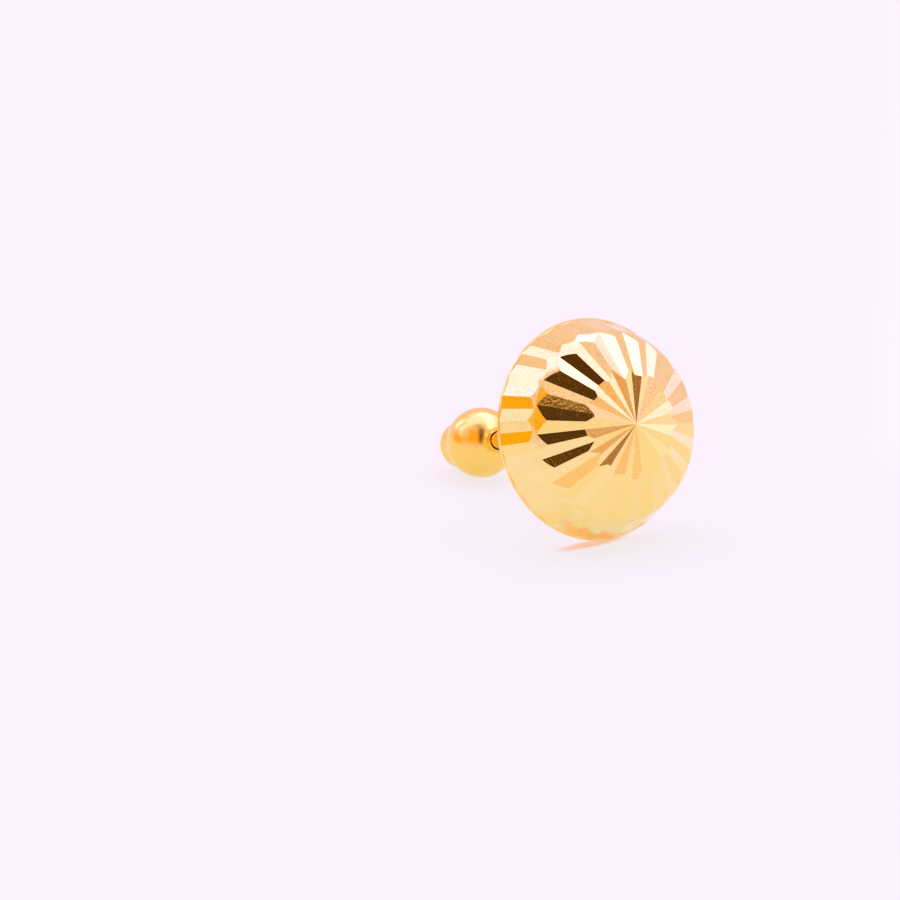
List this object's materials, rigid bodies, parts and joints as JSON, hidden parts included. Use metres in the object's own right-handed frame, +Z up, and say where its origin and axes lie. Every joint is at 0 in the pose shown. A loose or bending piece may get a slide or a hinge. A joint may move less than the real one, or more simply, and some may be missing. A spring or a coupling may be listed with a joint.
{
  "type": "stud earring",
  "caption": "Round gold stud earring with a diamond-cut domed head, a straight post and a push-on ball clutch, lying on its rim and its clutch.",
  "frame": {"origin": "on the surface the earring lies on, under the middle of its bounding box", "axes": "+Z up; the face of the head looks towards -Y and 19.1 degrees upwards; the post runs back towards +Y and down to the clutch; +X to the right seen from the face"},
  "size_m": [0.01, 0.015, 0.0095],
  "materials": {
    "head_gold": "polished, with fine tool marks in the cuts",
    "clutch_gold": "polished"
  },
  "bodies": {
    "stud": {"head_and_post": "head_gold"},
    "clutch": {"clutch": "clutch_gold"}
  },
  "joints": [
    {"name": "clutch_slide", "type": "slide", "parent": "stud", "child": "clutch", "axis": [0, 0.9448, -0.3276], "range_m": [-0.00755, 0.0005]}
  ]
}
